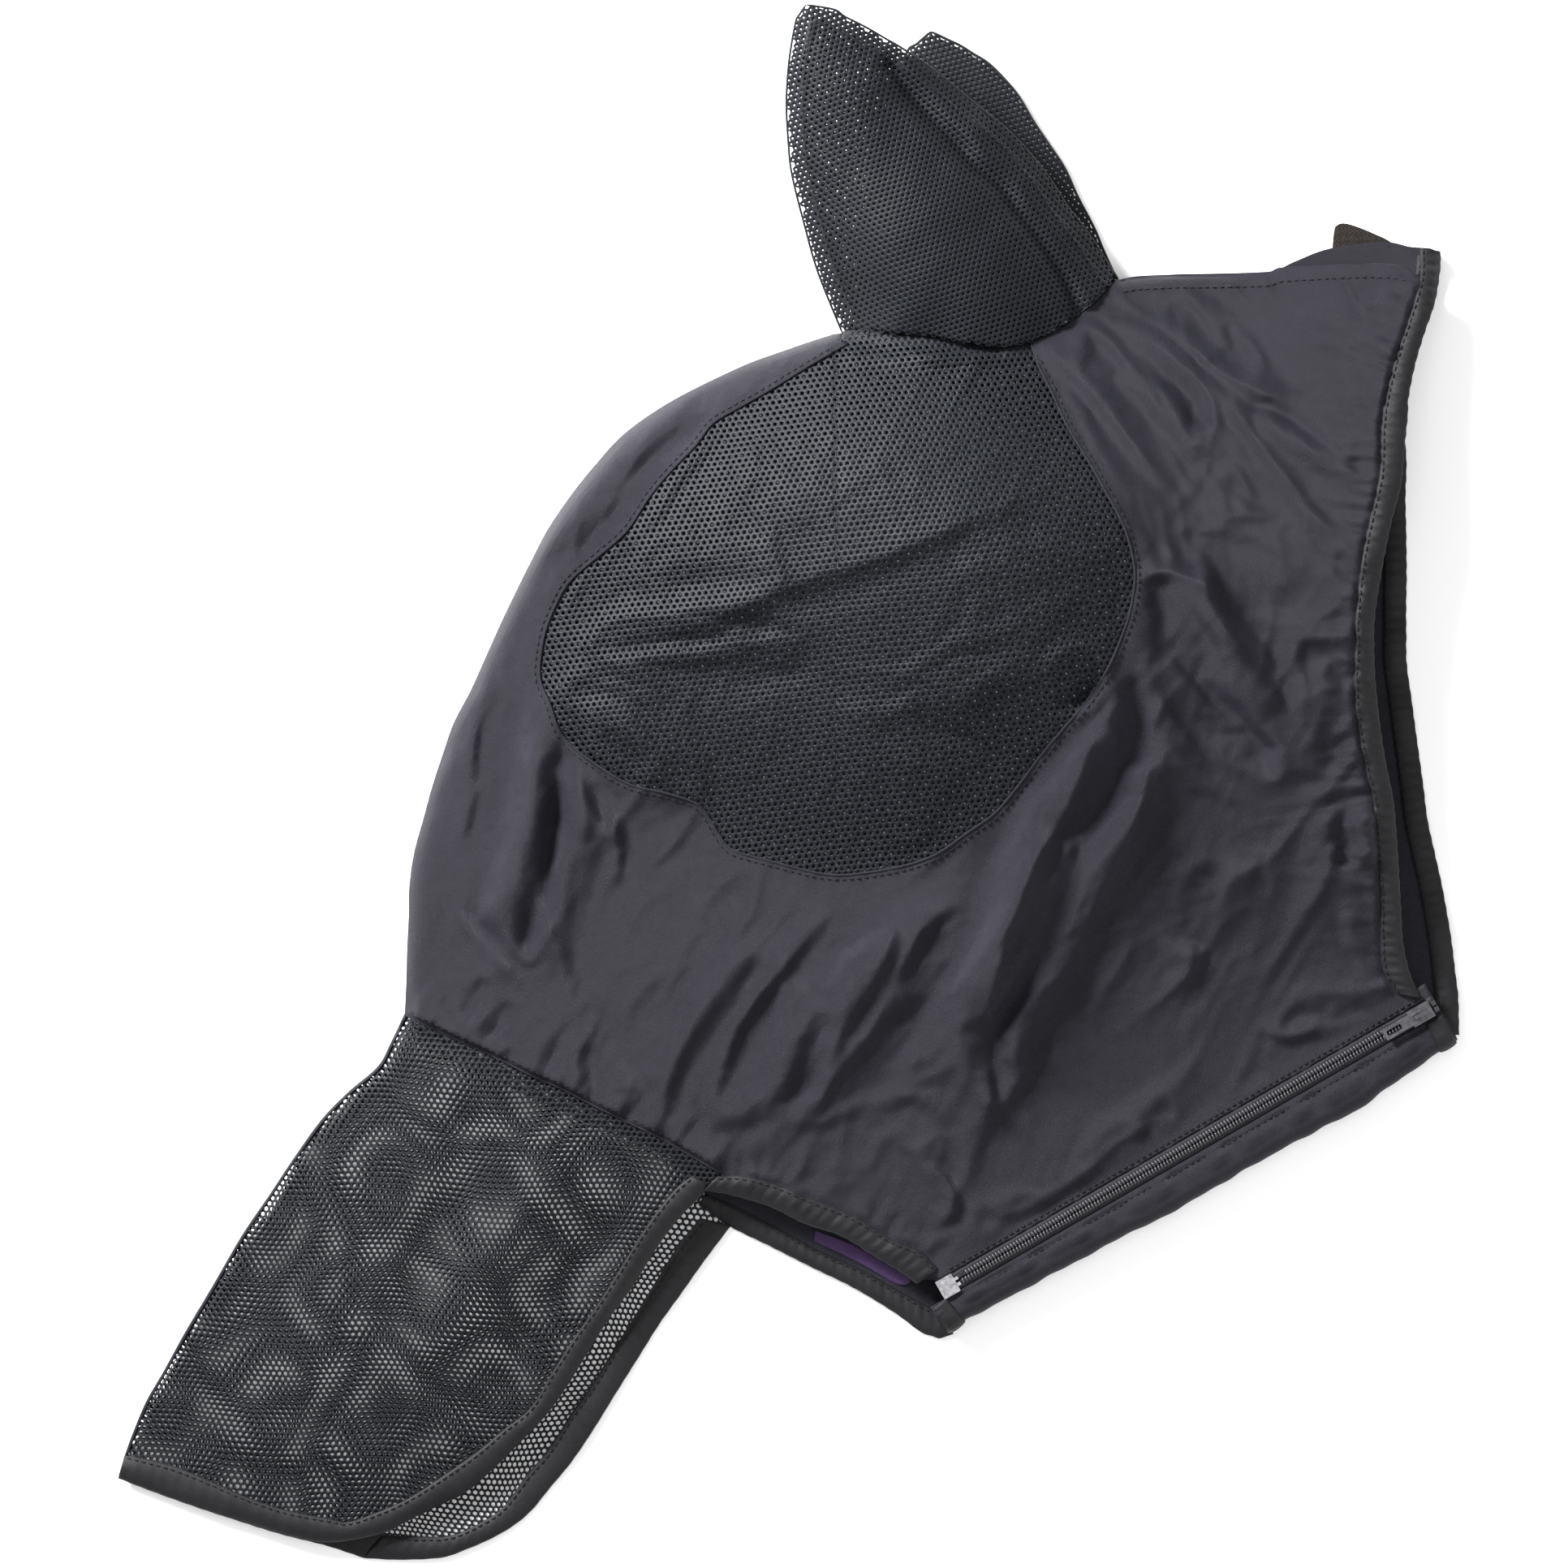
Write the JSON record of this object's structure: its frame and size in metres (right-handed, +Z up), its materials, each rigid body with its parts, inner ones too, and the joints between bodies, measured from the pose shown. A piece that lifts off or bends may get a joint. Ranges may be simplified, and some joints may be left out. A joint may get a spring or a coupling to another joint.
{
  "type": "horse fly mask",
  "caption": "Stretch-knit horse fly mask with net eye domes, net ears and a long net nose, zipped under the jaw, lying on its right side.",
  "frame": {"origin": "centre of the bounding box's bottom face, on the floor the mask lies on", "axes": "+X towards the throat opening, +Y towards the ears, +Z up off the floor, away from the right half the mask lies on"},
  "size_m": [0.6951, 0.8056, 0.0856],
  "materials": {
    "knit": "satin stretch knit",
    "eye_net": "fine open net",
    "ear_net": "fine open net",
    "nose_net": "fine open net",
    "seam_tape": "matte",
    "binding": "matte woven elastic",
    "zip_tape": "matte woven",
    "zip_coil": "semi-matte moulded coil",
    "zip_plastic": "semi-matte",
    "zip_box_metal": "worn bright metal",
    "zip_metal": "satin dark lacquer",
    "hook_loop": "napped",
    "label": "matte woven"
  },
  "bodies": {
    "mask": {"left_face_panel": "knit", "right_face_panel": "knit", "left_eye_mesh": "eye_net", "right_eye_mesh": "eye_net", "right_ear_front_mesh": "ear_net", "right_ear_back_mesh": "ear_net", "left_ear_base_seam": "seam_tape", "right_ear_base_seam": "seam_tape", "throat_binding_left": "binding", "throat_binding_right": "binding", "muzzle_binding_left": "binding", "muzzle_binding_right": "binding", "zip_tape_left": "zip_tape", "zip_tape_right": "zip_tape", "zip_coil_left": "zip_coil", "zip_coil_right": "zip_coil", "zip_retainer_box": "zip_box_metal", "zip_insertion_pin": "zip_box_metal", "zip_top_stops": "zip_plastic", "inner_label": "label"},
    "slider": {"zip_slider_body": "zip_metal"},
    "pull_tab": {"zip_pull_tab": "zip_metal"},
    "left_ear": {"left_ear_front_mesh": "ear_net", "left_ear_back_mesh": "ear_net"},
    "nose_flap": {"nose_mesh": "nose_net", "nose_binding": "binding", "nose_seam_band": "nose_net"},
    "poll_tab": {"poll_tab_hook": "hook_loop", "poll_tab_loop": "hook_loop"}
  },
  "joints": [
    {"name": "zip_slide", "type": "slide", "parent": "mask", "child": "slider", "axis": [-0.8665, -0.4992, 0], "range_m": [0, 0.267]},
    {"name": "pull_tab_hinge", "type": "hinge", "parent": "slider", "child": "pull_tab", "pos_m": [0.32884, -0.11812, 0.0189], "axis": [-0.4992, 0.8665, 0], "range_deg": [0, 150]},
    {"name": "left_ear_fold", "type": "hinge", "parent": "mask", "child": "left_ear", "pos_m": [0.03171, 0.22869, 0.0445], "axis": [0.9838, 0.1794, 0], "range_deg": [0, 70]},
    {"name": "nose_flap_fold", "type": "hinge", "parent": "mask", "child": "nose_flap", "pos_m": [-0.19845, -0.11865, 0.0202], "axis": [-0.8944, 0.4472, 0], "range_deg": [0, 110]},
    {"name": "poll_tab_fold", "type": "hinge", "parent": "mask", "child": "poll_tab", "pos_m": [0.28455, 0.28203, 0.001], "axis": [0.9961, 0.0879, 0], "range_deg": [0, 90]}
  ]
}
